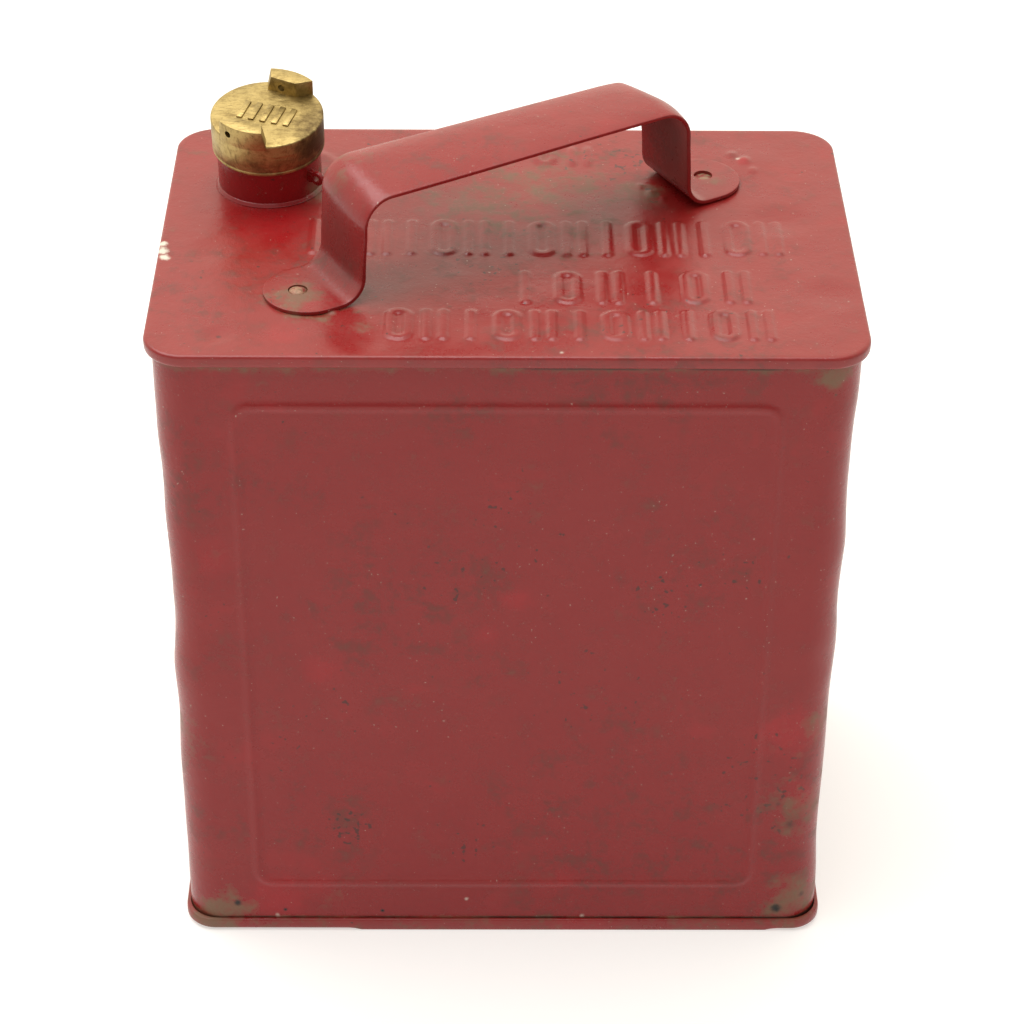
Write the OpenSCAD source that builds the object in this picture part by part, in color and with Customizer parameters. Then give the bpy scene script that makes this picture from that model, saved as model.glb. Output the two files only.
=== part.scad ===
// Two gallon pressed steel fuel can with a screw cap and a strap handle.
// Millimetres. +Z is up, the front with its pressed border faces -Y, and the origin is under the middle of the base.

/* [Body] */

// width of the can from side to side, over the wrapper
body_w = 240; // [200:1:280]

// depth of the can from front to back, over the wrapper
body_d = 158; // [130:1:190]

// height of the top panel above the ground
body_h = 259; // [220:1:300]

// radius of the upright corners
corner_r = 13; // [8:0.5:25]

// thickness of the pressed sheet
sheet = 1; // [0.8:0.1:1.2]

/* [Seams] */

// how far the folded top seam stands out from the wrapper
top_lip = 2.5; // [2:0.1:4]

// height of the folded top seam
top_skirt = 4.7; // [4:0.1:8]

// how far the bottom rim stands out from the wrapper
bottom_lip = 1.5; // [1:0.1:3]

// height of the bottom rim
bottom_skirt = 5.5; // [4:0.1:8]

// width of the upright lock seam in the wrapper
seam_w = 8; // [5:0.5:12]

// how far the upright lock seam stands in from the wrapper
seam_t = 1; // [0.6:0.1:1.5]

/* [Pressed border] */

// distance from the middle of the can to an upright bead
bead_x = 92.5; // [70:0.5:105]

// height of the lower bead above the ground
bead_low = 23.5; // [15:0.5:40]

// height of the upper bead above the ground
bead_high = 237.5; // [200:0.5:245]

// width of a bead
bead_w = 5; // [3:0.5:8]

// how far a bead stands out
bead_t = 0.8; // [0.4:0.1:1.2]

// radius of the border's corners
bead_r = 6; // [4:0.5:15]

/* [Raised marks on the top] */

// how far a mark stands up
mark_t = 0.7; // [0.4:0.1:1]

// width of a bar in a mark
mark_bar = 2.9; // [2:0.1:4]

/* [Neck] */

// distance of the neck from the middle of the can, to the left
neck_x = -86; // [-95:0.5:-60]

// distance of the neck from the middle of the can, to the back
neck_y = 39.5; // [0:0.5:50]

// how far the neck leans to the front, in degrees
neck_lean = 8; // [0:0.5:10]

// radius of the neck
neck_r = 18.8; // [17:0.1:22]

// height of the neck over its foot, with the bush's flange
neck_h = 24.7; // [16:0.1:30]

// wall of the neck
neck_wall = 1.2; // [0.8:0.1:2]

// radius of the plain bore that stands for the bush's female thread
bush_bore = 16.5; // [14:0.1:18]

// length of the threaded bush
bush_len = 14; // [8:0.5:18]

// thickness of the bush's flange
bush_flange = 1.2; // [0.8:0.1:2]

/* [Cap] */

// radius of the cap
cap_r = 20.3; // [18:0.1:24]

// height of the cap's lower edge above the neck's foot
cap_low = 17; // [10:0.5:20]

// height of the cap's flat top above the neck's foot
cap_top = 30; // [24:0.5:36]

// thickness of the cap's top
cap_t = 3.2; // [2:0.1:5]

// wall of the cap's skirt
cap_wall = 1; // [0.8:0.1:2]

// how far the lugs stand over the flat top
lug_t = 5.8; // [3:0.1:8]

// radius of the plain spigot that stands for the cap's male thread
spigot_r = 16.2; // [14:0.1:18]

// bore of the spigot
spigot_bore = 13.4; // [10:0.1:15]

// height of the spigot's lower end above the neck's foot
spigot_low = 13.5; // [8:0.5:18]

// diameter of a sealing wire hole
wire_d = 2.6; // [1.5:0.1:4]

// direction of the line through both wire holes, in degrees
wire_dir = 58.5; // [40:0.5:80]

// distance of that line from the cap's middle
wire_off = 2.9; // [0:0.1:5]

/* [Handle] */

// direction of the handle across the top, in degrees
handle_dir = 30; // [0:1:45]

// width of the strap
strap_w = 30.8; // [20:0.2:40]

// thickness of the strap
strap_t = 1.5; // [1:0.1:3]

// height of the handle above the top panel
handle_h = 42; // [30:0.5:55]

// length of the handle over its two legs
handle_len = 133.4; // [100:0.2:160]

// outer radius of the handle's upper bends
bend_r = 10; // [6:0.5:15]

// inner radius of the bends into the feet
foot_bend = 8; // [4:0.5:12]

// distance from the middle of the handle to the round end's centre of a foot
foot_end = 80; // [75:0.5:84]

// distance from the middle of the handle to a solder hole
hole_at = 83.2; // [76:0.2:88]

// diameter of a solder hole
hole_d = 6.8; // [5:0.2:12]

// how far a solder hole lies off the strap's middle line
hole_off = 1.2; // [0:0.1:4]

/* [Hidden] */

$fn = 96;
eps = 0.01;
outer_w = body_w + 2 * top_lip;
outer_d = body_d + 2 * top_lip;
outer_r = corner_r + top_lip;
seam_low = body_h - top_skirt;
plate_z = bottom_skirt - sheet;
bead_round = (bead_w * bead_w / 4 + bead_t * bead_t) / (2 * bead_t);
bead_deep = bead_round - bead_t;
rim_r = 1.1;
mark_mid = 2.9;
handle_mid = 0.9;
half_len = handle_len / 2;
cap_in = cap_r - cap_wall;
cap_under = cap_top - cap_t;
washer_gap = 0.3;
washer_low = neck_h + washer_gap;
washer_high = cap_under - washer_gap;
bush_r = neck_r - neck_wall;
wire_z = cap_top + 2.1;
eye_z = 10.8;
wire_rise = 0.5;

// shared shapes

// a rounded rectangle in plan
module plan(w, d, r) {
    square([w - 2 * r, d], center = true);
    square([w, d - 2 * r], center = true);
    for (sx = [-1, 1], sy = [-1, 1])
        translate([sx * (w / 2 - r), sy * (d / 2 - r)])
            circle(r = r);
}

module slab(w, d, r, z0, z1) {
    translate([0, 0, z0])
        linear_extrude(z1 - z0)
            plan(w, d, r);
}

// a ring of sheet metal, from one rounded rectangle in to another
module band(w, d, r, t, z0, z1) {
    difference() {
        slab(w, d, r, z0, z1);
        slab(w - 2 * t, d - 2 * t, r - t, z0 - 1, z1 + 1);
    }
}

// carries a flat profile once round a rounded rectangle; the profile's x is the distance out from the corner centres
module carry(w, d, r) {
    for (k = [0, 1]) {
        rotate([0, 0, 180 * k])
            translate([w / 2 - r, d / 2 - r, 0])
                rotate([90, 0, 0])
                    linear_extrude(d - 2 * r)
                        children();
        rotate([0, 0, 180 * k + 90])
            translate([d / 2 - r, w / 2 - r, 0])
                rotate([90, 0, 0])
                    linear_extrude(w - 2 * r)
                        children();
    }
    for (sx = [0, 1], sy = [0, 1])
        mirror([sx, 0, 0])
            mirror([0, sy, 0])
                translate([w / 2 - r, d / 2 - r, 0])
                    rotate_extrude(angle = 90)
                        children();
}

// the round back of a bead, above a given depth under the sheet's outer face
module bead_back(cut, rad) {
    intersection() {
        translate([0, -bead_deep])
            circle(r = rad);
        translate([-bead_w, -cut])
            square([2 * bead_w, bead_w]);
    }
}

// the bead's rectangle, with its profile standing up along +Z
module bead_path(cut, rad) {
    bw = 2 * bead_x;
    bh = bead_high - bead_low;
    for (k = [-1, 1]) {
        translate([k * bead_x, bh / 2 - bead_r, 0])
            rotate([90, 0, 0])
                linear_extrude(bh - 2 * bead_r)
                    bead_back(cut, rad);
        translate([-bead_x + bead_r, k * bh / 2, 0])
            rotate([90, 0, 90])
                linear_extrude(bw - 2 * bead_r)
                    bead_back(cut, rad);
    }
    for (sx = [0, 1], sy = [0, 1])
        mirror([sx, 0, 0])
            mirror([0, sy, 0])
                translate([bead_x - bead_r, bh / 2 - bead_r, 0])
                    rotate_extrude(angle = 90)
                        translate([bead_r, 0])
                            bead_back(cut, rad);
}

// puts its children on the front face, or on the back face for side = 1
module on_face(side) {
    rotate([0, 0, 180 * side])
        translate([0, -body_d / 2, (bead_low + bead_high) / 2])
            rotate([90, 0, 0])
                children();
}

// puts its children in the neck's own frame, with z = 0 on the top panel
module at_neck() {
    translate([neck_x, neck_y, body_h])
        rotate([neck_lean, 0, 0])
            children();
}

// puts its children in the handle's own frame: x along the strap, z = 0 on the top panel
module at_handle() {
    translate([0, 0, body_h])
        rotate([0, 0, handle_dir])
            translate([handle_mid, 0, 0])
                children();
}

// the sheet metal

// the rolled wrapper, closed at the back of the left side
module body_wrap() {
    color("firebrick") {
        difference() {
            union() {
                band(body_w, body_d, corner_r, sheet, sheet, body_h - sheet);
                for (side = [0, 1])
                    on_face(side)
                        bead_path(0.3, bead_round);
            }
            for (side = [0, 1])
                on_face(side)
                    bead_path(sheet + 0.2, bead_round - sheet);
        }
        // the folded hem that the top panel's edge is closed round
        band(body_w + 2 * top_lip - 2 * sheet, body_d + 2 * top_lip - 2 * sheet, outer_r - sheet,
             top_lip - sheet, seam_low + sheet, body_h - sheet);
        // the lock seam
        translate([-body_w / 2 + sheet - eps, body_d / 2 - corner_r - 20, bottom_skirt + 2])
            cube([seam_t + eps, seam_w, body_h - bottom_skirt - 12]);
    }
}

module top_edge() {
    // the skirt with its rolled upper edge, and the lip folded under the hem
    translate([outer_r - sheet, seam_low])
        square([sheet, top_skirt - rim_r]);
    translate([outer_r - top_lip, seam_low])
        square([top_lip, sheet]);
    intersection() {
        translate([outer_r - rim_r, body_h - rim_r])
            circle(r = rim_r);
        translate([outer_r - rim_r, body_h - rim_r])
            square([rim_r, rim_r]);
    }
    translate([outer_r - rim_r, body_h - sheet])
        square([rim_r - 0.9, sheet]);
}

// an upright bar with round ends
module pill(w, h) {
    square([w, h - w], center = true);
    for (k = [-1, 1])
        translate([0, k * (h - w) / 2])
            circle(r = w / 2);
}

// one generic raised mark, h tall: an upright bar, a pair of bars or a tall ring
module mark(kind, h) {
    if (kind == 0)
        pill(mark_bar, h);
    if (kind == 1)
        for (k = [-1, 1])
            translate([k * mark_mid, 0])
                pill(mark_bar, h);
    if (kind == 2)
        difference() {
            pill(2 * mark_mid + mark_bar + 0.4, h);
            pill(2 * mark_mid - mark_bar + 0.4, h - 2 * mark_bar);
        }
}

// a row of n marks on the top, from x0 to x1
module mark_row(x0, x1, y, h, n) {
    for (i = [0 : n - 1])
        translate([x0 + (i + 0.5) * (x1 - x0) / n, y, body_h - eps])
            linear_extrude(mark_t + eps)
                mark((i * 2 + n) % 3, h);
}

module top_panel() {
    color("indianred") {
        difference() {
            slab(outer_w - 2 * rim_r, outer_d - 2 * rim_r, outer_r - rim_r, body_h - sheet, body_h);
            at_neck()
                cylinder(r = neck_r, h = 20, center = true);
        }
        carry(outer_w, outer_d, outer_r)
            top_edge();
        mark_row(-74, 99, 0, 24, 15);
        mark_row(-1, 87, -34, 22, 6);
        mark_row(-43, 92, -60, 20, 11);
        mark_row(8, 34, 60, 12, 2);
    }
}

module bottom_panel() {
    color("firebrick") {
        // the base, set up inside the rim
        slab(body_w - 2 * sheet, body_d - 2 * sheet, corner_r - sheet, plate_z, bottom_skirt);
        // the rim folded round the wrapper's lower edge
        band(body_w - 2 * sheet, body_d - 2 * sheet, corner_r - sheet, sheet, 0, plate_z + eps);
        band(body_w + 2 * bottom_lip, body_d + 2 * bottom_lip, corner_r + bottom_lip, bottom_lip + sheet + eps,
             0, sheet);
        band(body_w + 2 * bottom_lip, body_d + 2 * bottom_lip, corner_r + bottom_lip, bottom_lip,
             sheet - eps, bottom_skirt);
    }
}

// the neck

module neck_collar() {
    color("indianred")
        difference() {
            at_neck()
                cylinder(r = neck_r, h = 2 * (neck_h - bush_flange), center = true);
            at_neck()
                cylinder(r = bush_r, h = 60, center = true);
            translate([neck_x - 40, neck_y - 40, body_h - 40 - sheet - 2])
                cube([80, 80, 40]);
        }
}

module threaded_bush() {
    color("goldenrod")
        at_neck()
            difference() {
                union() {
                    translate([0, 0, neck_h - bush_len])
                        cylinder(r = bush_r, h = bush_len);
                    translate([0, 0, neck_h - bush_flange])
                        cylinder(r = neck_r, h = bush_flange);
                }
                translate([0, 0, neck_h - bush_len - 1])
                    cylinder(r = bush_bore, h = bush_len + 2);
            }
}

module neck_solder() {
    color("indianred")
        difference() {
            translate([neck_x, neck_y, body_h])
                rotate_extrude()
                    polygon([[neck_r - 2, 0], [neck_r + 1.9, 0], [neck_r + 1.5, 0.8], [neck_r + 0.9, 1.8],
                             [neck_r - 2, 1.8]]);
            at_neck()
                cylinder(r = neck_r, h = 40, center = true);
        }
}

// the small eye on the neck that the sealing wire is tied to
module seal_eye() {
    color("indianred")
        at_neck()
            rotate([0, 0, -35])
                difference() {
                    union() {
                        translate([neck_r + 3.1, 0.8, eye_z])
                            rotate([90, 0, 0])
                                cylinder(r = 3, h = 1.6);
                        translate([neck_r - 1, -0.8, eye_z - 3])
                            cube([4.1, 1.6, 6]);
                    }
                    translate([neck_r + 3.1, 5, eye_z])
                        rotate([90, 0, 0])
                            cylinder(r = wire_d / 2, h = 10);
                    cylinder(r = neck_r, h = 30);
                }
}

// the handle

// one side of the strap, seen edge on, without its foot
module strap_side() {
    x = half_len;
    // bend into the foot
    intersection() {
        translate([x + foot_bend, strap_t + foot_bend])
            difference() {
                circle(r = foot_bend + strap_t);
                circle(r = foot_bend);
            }
        translate([x - strap_t, 0])
            square([foot_bend + strap_t, foot_bend + strap_t]);
    }
    // leg
    translate([x - strap_t, strap_t + foot_bend])
        square([strap_t, handle_h - bend_r - strap_t - foot_bend]);
    // upper bend
    intersection() {
        translate([x - bend_r, handle_h - bend_r])
            difference() {
                circle(r = bend_r);
                circle(r = bend_r - strap_t);
            }
        translate([x - bend_r, handle_h - bend_r])
            square([bend_r, bend_r]);
    }
    // grip
    translate([0, handle_h - strap_t])
        square([x - bend_r, strap_t]);
}

// a foot in plan, with its round end and its solder hole
module foot_plan() {
    x = half_len + foot_bend;
    difference() {
        union() {
            translate([x, -strap_w / 2])
                square([foot_end - x, strap_w]);
            intersection() {
                translate([foot_end, 0])
                    circle(r = strap_w / 2);
                translate([foot_end, -strap_w])
                    square([strap_w, 2 * strap_w]);
            }
        }
        translate([hole_at, hole_off])
            circle(r = hole_d / 2);
    }
}

module handle_strap() {
    color("firebrick")
        at_handle()
            for (s = [0, 1])
                mirror([s, 0, 0]) {
                    translate([0, strap_w / 2, 0])
                        rotate([90, 0, 0])
                            linear_extrude(strap_w)
                                strap_side();
                    linear_extrude(strap_t)
                        foot_plan();
                }
}

// the left hole is filled proud with solder
module handle_solder_left() {
    color("tan")
        at_handle()
            translate([-hole_at, hole_off, 0]) {
                cylinder(r = hole_d / 2, h = strap_t);
                translate([0, 0, strap_t - eps])
                    cylinder(r = hole_d / 2 - 0.4, h = 0.6);
            }
}

// the right hole has solder only in its bottom
module handle_solder_right() {
    color("tan")
        at_handle()
            translate([hole_at, hole_off, 0])
                cylinder(r = hole_d / 2, h = 0.7);
}

// the cap

module cap_washer() {
    color("saddlebrown")
        at_neck()
            translate([0, 0, washer_low])
                difference() {
                    cylinder(r = cap_in - 0.5, h = washer_high - washer_low);
                    translate([0, 0, -1])
                        cylinder(r = spigot_r + 0.3, h = washer_high - washer_low + 2);
                }
}

// the plan of one lug: the front one, with its corner to the middle
module lug_plan() {
    intersection() {
        circle(r = cap_r);
        polygon([[-9.8, -10.5], [-30, -16.3], [-30, -32], [0.4, -32], [0.4, -15.26]]);
    }
}

module screw_cap() {
    color("goldenrod")
        at_neck()
            difference() {
                union() {
                    // cup
                    difference() {
                        translate([0, 0, cap_low])
                            cylinder(r = cap_r, h = cap_top - cap_low);
                        translate([0, 0, cap_low - 1])
                            cylinder(r = cap_in, h = cap_under - cap_low + 1);
                    }
                    // spigot
                    translate([0, 0, spigot_low])
                        difference() {
                            cylinder(r = spigot_r, h = cap_under - spigot_low + 0.5);
                            translate([0, 0, -1])
                                cylinder(r = spigot_bore, h = cap_under - spigot_low + 1);
                        }
                    // lugs
                    for (k = [0, 1])
                        rotate([0, 0, 180 * k])
                            translate([0, 0, cap_top - eps])
                                linear_extrude(lug_t + eps)
                                    lug_plan();
                    // a row of generic raised bars on the flat top
                    for (k = [-2 : 2])
                        rotate([0, 0, -15])
                            translate([3.7 * k, 0, cap_top - eps])
                                linear_extrude(0.6 + eps)
                                    pill(2.1, 8.4);
                }
                // the sealing wire's holes, the rear one drilled a little higher
                for (k = [0, 1])
                    rotate([0, 0, wire_dir])
                        translate([30 * k - 30, wire_off, wire_z + wire_rise * k])
                            rotate([0, 90, 0])
                                cylinder(r = wire_d / 2, h = 30);
            }
}

body_wrap();
top_panel();
bottom_panel();
neck_collar();
threaded_bush();
neck_solder();
seal_eye();
handle_strap();
handle_solder_left();
handle_solder_right();
cap_washer();
screw_cap();
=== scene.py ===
import math

import bpy
from mathutils import Matrix, Vector


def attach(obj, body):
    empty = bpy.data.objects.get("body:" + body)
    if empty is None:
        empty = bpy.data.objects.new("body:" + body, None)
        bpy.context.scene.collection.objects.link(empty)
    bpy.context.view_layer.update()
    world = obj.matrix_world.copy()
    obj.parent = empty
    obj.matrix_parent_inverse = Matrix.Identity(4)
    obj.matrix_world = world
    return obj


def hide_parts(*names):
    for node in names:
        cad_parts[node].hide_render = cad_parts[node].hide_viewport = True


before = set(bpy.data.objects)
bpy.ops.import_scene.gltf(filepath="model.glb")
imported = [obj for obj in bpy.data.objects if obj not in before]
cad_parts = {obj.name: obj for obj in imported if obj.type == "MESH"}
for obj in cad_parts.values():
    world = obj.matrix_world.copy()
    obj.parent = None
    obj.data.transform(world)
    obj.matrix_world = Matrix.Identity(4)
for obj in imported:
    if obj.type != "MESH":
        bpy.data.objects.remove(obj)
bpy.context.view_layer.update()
mm = 0.001
print("frame loaded")


# small helpers

def only(obj):
    if bpy.context.object and bpy.context.object.mode == "EDIT":
        bpy.ops.object.mode_set(mode="OBJECT")
    bpy.ops.object.select_all(action="DESELECT")
    obj.select_set(True)
    bpy.context.view_layer.objects.active = obj


def clear():
    if bpy.context.object and bpy.context.object.mode == "EDIT":
        bpy.ops.object.mode_set(mode="OBJECT")
    bpy.ops.object.select_all(action="DESELECT")


def named(name):
    obj = bpy.context.object
    obj.name = name
    obj.data.name = name
    bpy.ops.object.transform_apply(location=True, rotation=True, scale=True)
    return obj


def editMode(kind="VERT"):
    bpy.ops.object.mode_set(mode="EDIT")
    bpy.ops.mesh.select_mode(type=kind)
    bpy.ops.mesh.select_all(action="DESELECT")


def selectAll():
    bpy.ops.mesh.select_all(action="SELECT")


def objectMode():
    bpy.ops.object.mode_set(mode="OBJECT")


def pickEdges(obj, test):
    editMode("EDGE")
    objectMode()
    verts = obj.data.vertices
    for edge in obj.data.edges:
        edge.select = test(verts[edge.vertices[0]].co, verts[edge.vertices[1]].co)
    bpy.ops.object.mode_set(mode="EDIT")


def pickFaces(obj, test):
    editMode("FACE")
    objectMode()
    for face in obj.data.polygons:
        face.select = test(face.center, face.normal)
    bpy.ops.object.mode_set(mode="EDIT")


def pickRim():
    editMode("EDGE")
    bpy.ops.mesh.select_non_manifold(extend=False, use_wire=False, use_boundary=True,
                                     use_multi_face=False, use_non_contiguous=False, use_verts=False)


def modify(obj, kind, **values):
    only(obj)
    mod = obj.modifiers.new(kind.title(), kind)
    for key, value in values.items():
        setattr(mod, key, value)
    bpy.ops.object.modifier_apply(modifier=mod.name)


def press(obj, weightAt, depth, direction="NORMAL"):
    # pushes the surface by depth where weightAt is 1, less where it is smaller
    group = obj.vertex_groups.new(name="press")
    for vert in obj.data.vertices:
        weight = weightAt(vert.co)
        if weight > 0:
            group.add([vert.index], min(weight, 1), "REPLACE")
    modify(obj, "DISPLACE", strength=depth, mid_level=0, direction=direction, vertex_group=group.name)
    obj.vertex_groups.remove(obj.vertex_groups["press"])


def ripple(obj, size, depth, shift):
    # small uneven lumps; shift moves the cloud pattern, so that no two pieces match
    cloud = bpy.data.textures.new("ripple", "CLOUDS")
    cloud.noise_scale = size
    cloud.noise_depth = 2
    holder = bpy.data.objects.new("rippleCentre", None)
    holder.location = (shift, shift * 0.7, 0)
    bpy.context.collection.objects.link(holder)
    modify(obj, "DISPLACE", texture=cloud, texture_coords="OBJECT", texture_coords_object=holder,
           strength=depth, mid_level=0.5)
    bpy.data.objects.remove(holder)
    bpy.data.textures.remove(cloud)


def wave(obj, groupName, size, depth):
    # an uneven sheet: a cloud pattern that fades out where the group does
    cloud = bpy.data.textures.new("sheetWave", "CLOUDS")
    cloud.noise_scale = size
    cloud.noise_depth = 1
    modify(obj, "DISPLACE", texture=cloud, texture_coords="LOCAL", vertex_group=groupName,
           strength=depth, mid_level=0.6)
    bpy.data.textures.remove(cloud)


def smooth(obj, angle=35):
    only(obj)
    bpy.ops.object.shade_smooth_by_angle(angle=math.radians(angle))


def softEdges(obj, width, angle, segments=3):
    modify(obj, "BEVEL", width=width, segments=segments, limit_method="ANGLE", angle_limit=math.radians(angle))


def tidyNormals(obj, distance=0.00002, inside=False):
    only(obj)
    editMode()
    selectAll()
    bpy.ops.mesh.remove_doubles(threshold=distance)
    bpy.ops.mesh.normals_make_consistent(inside=inside)
    objectMode()


def cut(obj, tool):
    modify(obj, "BOOLEAN", operation="DIFFERENCE", object=tool, solver="EXACT")
    bpy.data.objects.remove(tool)


def joined(pieces, name):
    clear()
    for piece in pieces:
        piece.select_set(True)
    bpy.context.view_layer.objects.active = pieces[0]
    bpy.ops.object.join()
    obj = bpy.context.object
    obj.name = name
    obj.data.name = name
    return obj


def place(obj, matrix):
    only(obj)
    obj.matrix_world = matrix
    bpy.ops.object.transform_apply(location=True, rotation=True, scale=True)


def ease(value, low, high):
    # 0 below low, 1 above high, smooth between
    t = min(max((value - low) / (high - low), 0), 1)
    return t * t * (3 - 2 * t)


def bell(distance, radius):
    t = min(distance / radius, 1)
    return (1 - t * t) ** 2


def lathe(name, profile, steps=96):
    # profile is a closed run of (radius, height) in millimetres, spun round the Z axis
    profile = [(r * mm, z * mm) for r, z in profile]
    clear()
    bpy.ops.mesh.primitive_plane_add(size=1 * mm, location=(profile[0][0], 0, profile[0][1]))
    obj = named(name)
    editMode()
    selectAll()
    bpy.ops.mesh.merge(type="CENTER")
    for (r0, z0), (r1, z1) in zip(profile, profile[1:]):
        bpy.ops.mesh.extrude_vertices_move(TRANSFORM_OT_translate={"value": (r1 - r0, 0, z1 - z0)})
    selectAll()
    objectMode()
    for vert in obj.data.vertices:
        vert.select = vert.index in (0, len(obj.data.vertices) - 1)
    bpy.ops.object.mode_set(mode="EDIT")
    bpy.ops.mesh.edge_face_add()
    selectAll()
    bpy.ops.mesh.spin(steps=steps, angle=math.tau, center=(0, 0, 0), axis=(0, 0, 1), dupli=False)
    objectMode()
    tidyNormals(obj)
    return obj


def roundOff(u, w):
    # carries a unit square's corner onto a quarter circle
    return u * math.sqrt(1 - w * w / 2), w * math.sqrt(1 - u * u / 2)


def outlineRing(name, width, depth, corner, height, cuts):
    # a rounded rectangle of edges, with its long and short sides divided
    clear()
    bpy.ops.mesh.primitive_plane_add(size=1, location=(0, 0, height))
    obj = bpy.context.object
    obj.scale = (width, depth, 1)
    named(name)
    editMode()
    selectAll()
    bpy.ops.mesh.bevel(offset=corner, segments=12, profile=0.5, affect="VERTICES")
    selectAll()
    bpy.ops.mesh.delete(type="ONLY_FACE")
    pickEdges(obj, lambda a, b: abs(a.x - b.x) > width / 2)
    bpy.ops.mesh.subdivide(number_cuts=cuts[0])
    pickEdges(obj, lambda a, b: abs(a.y - b.y) > depth / 2)
    bpy.ops.mesh.subdivide(number_cuts=cuts[1])
    objectMode()
    return obj


def foldRound(width, depth, fold):
    # extrudes the selected edges through a fold profile of (outward, height) steps, from the outline given
    for (o0, z0), (o1, z1) in zip(fold, fold[1:]):
        bpy.ops.mesh.extrude_edges_move(TRANSFORM_OT_translate={"value": (0, 0, z1 - z0)})
        if o1 != o0:
            bpy.ops.transform.resize(value=((width / 2 + o1) / (width / 2 + o0),
                                            (depth / 2 + o1) / (depth / 2 + o0), 1),
                                     center_override=(0, 0, 0))


# body wrapper

body = {
    "width": 240 * mm, "depth": 158 * mm, "low": 1.4 * mm, "high": 257.6 * mm, "corner": 13 * mm,
    "beadX": 92.5 * mm, "beadLow": 23.5 * mm, "beadHigh": 237.5 * mm, "beadCorner": 6 * mm,
    "beadHalf": 2.6 * mm, "beadHeight": 0.8 * mm, "wall": 0.9 * mm,
    # how often the flats are divided across x, y and z, and the extra lines to each side along the border
    "cuts": (56, 34, 66), "beadLines": 3, "beadLineStep": 1.1 * mm,
    # place on the sheet, radius and depth of each dent
    "dents": [((121, -30, 178), 46, 1.3), ((121, -64, 152), 26, 1.3), ((121, 20, 90), 45, 1.3),
              ((121, -60, 206), 34, 1.2), ((120, -70, 98), 44, 1.1), ((120, -66, 48), 44, 1.2),
              ((117, -79, 128), 12, 0.7), ((121, -60, 228), 22, 0.5), ((-121, -62, 146), 28, 1.7),
              ((-121, -62, 170), 22, 1.3), ((-121, -60, 200), 26, 0.9), ((-119, -76, 100), 24, 0.9),
              ((-121, 25, 80), 45, 1.6), ((-62, 79, 160), 40, 1.4), ((50, 79, 70), 36, 1.2),
              ((10, 79, 205), 30, 0.9), ((60, -79, 170), 52, 0.7), ((-50, -79, 95), 48, 0.6)],
    # heights over which the sheet stiffens to its ends, and the size and depth of its waves
    "stiffBelow": (10, 40), "stiffAbove": (225, 250), "waves": [(60, 0.9), (22, 0.25)],
}


def beadDistance(x, z):
    # how far a point of the front is from the middle of the pressed border
    halfX = body["beadX"] - body["beadCorner"]
    halfZ = (body["beadHigh"] - body["beadLow"]) / 2 - body["beadCorner"]
    dx = abs(x) - halfX
    dz = abs(z - (body["beadHigh"] + body["beadLow"]) / 2) - halfZ
    outside = math.hypot(max(dx, 0), max(dz, 0)) + min(max(dx, dz), 0)
    return abs(outside - body["beadCorner"])


def makeBody():
    height = body["high"] - body["low"]
    clear()
    bpy.ops.mesh.primitive_cube_add(size=1, location=(0, 0, body["low"] + height / 2))
    obj = bpy.context.object
    obj.scale = (body["width"], body["depth"], height)
    named("bodyWrapper")
    pickFaces(obj, lambda centre, normal: abs(normal.z) > 0.9)
    bpy.ops.mesh.delete(type="FACE")
    pickEdges(obj, lambda a, b: abs(a.z - b.z) > 0.1)
    bpy.ops.mesh.bevel(offset=body["corner"], segments=10, profile=0.5, affect="EDGES")
    for axis, count in enumerate(body["cuts"]):
        pickEdges(obj, lambda a, b: abs(a[axis] - b[axis]) > 0.1)
        bpy.ops.mesh.subdivide(number_cuts=count)
    for axis, line in ((2, body["beadLow"]), (2, body["beadHigh"]), (0, -body["beadX"]), (0, body["beadX"])):
        across = Vector((0, 0, 0))
        across[axis] = 1
        for k in range(-body["beadLines"], body["beadLines"] + 1):
            selectAll()
            bpy.ops.mesh.bisect(plane_co=across * (line + k * body["beadLineStep"]), plane_no=across)
    objectMode()
    tidyNormals(obj, 0.00004)
    flat = body["depth"] / 2 - 0.5 * mm
    press(obj, lambda p: 0.5 + 0.5 * math.cos(math.pi * min(beadDistance(p.x, p.z) / body["beadHalf"], 1))
          if abs(p.y) > flat else 0, body["beadHeight"])
    (low0, low1), (high0, high1) = body["stiffBelow"], body["stiffAbove"]

    def middle(p):
        return ease(p.z, low0 * mm, low1 * mm) * ease(-p.z, -high1 * mm, -high0 * mm)

    for (x, y, z), radius, depth in body["dents"]:
        centre = Vector((x, y, z)) * mm
        press(obj, lambda p: bell((p - centre).length, radius * mm) * middle(p), -depth * mm)
    group = obj.vertex_groups.new(name="calm")
    for vert in obj.data.vertices:
        group.add([vert.index], middle(vert.co), "REPLACE")
    for size, depth in body["waves"]:
        wave(obj, "calm", size * mm, depth * mm)
    obj.vertex_groups.remove(obj.vertex_groups["calm"])
    modify(obj, "SOLIDIFY", thickness=body["wall"], offset=-1)
    smooth(obj, 40)
    return obj


bodyPiece = makeBody()
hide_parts("body_wrap")
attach(bodyPiece, "tank")
print("body wrapper made", len(bodyPiece.data.polygons))


# the neck's foot, how it leans, and what is made of it further down

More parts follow.
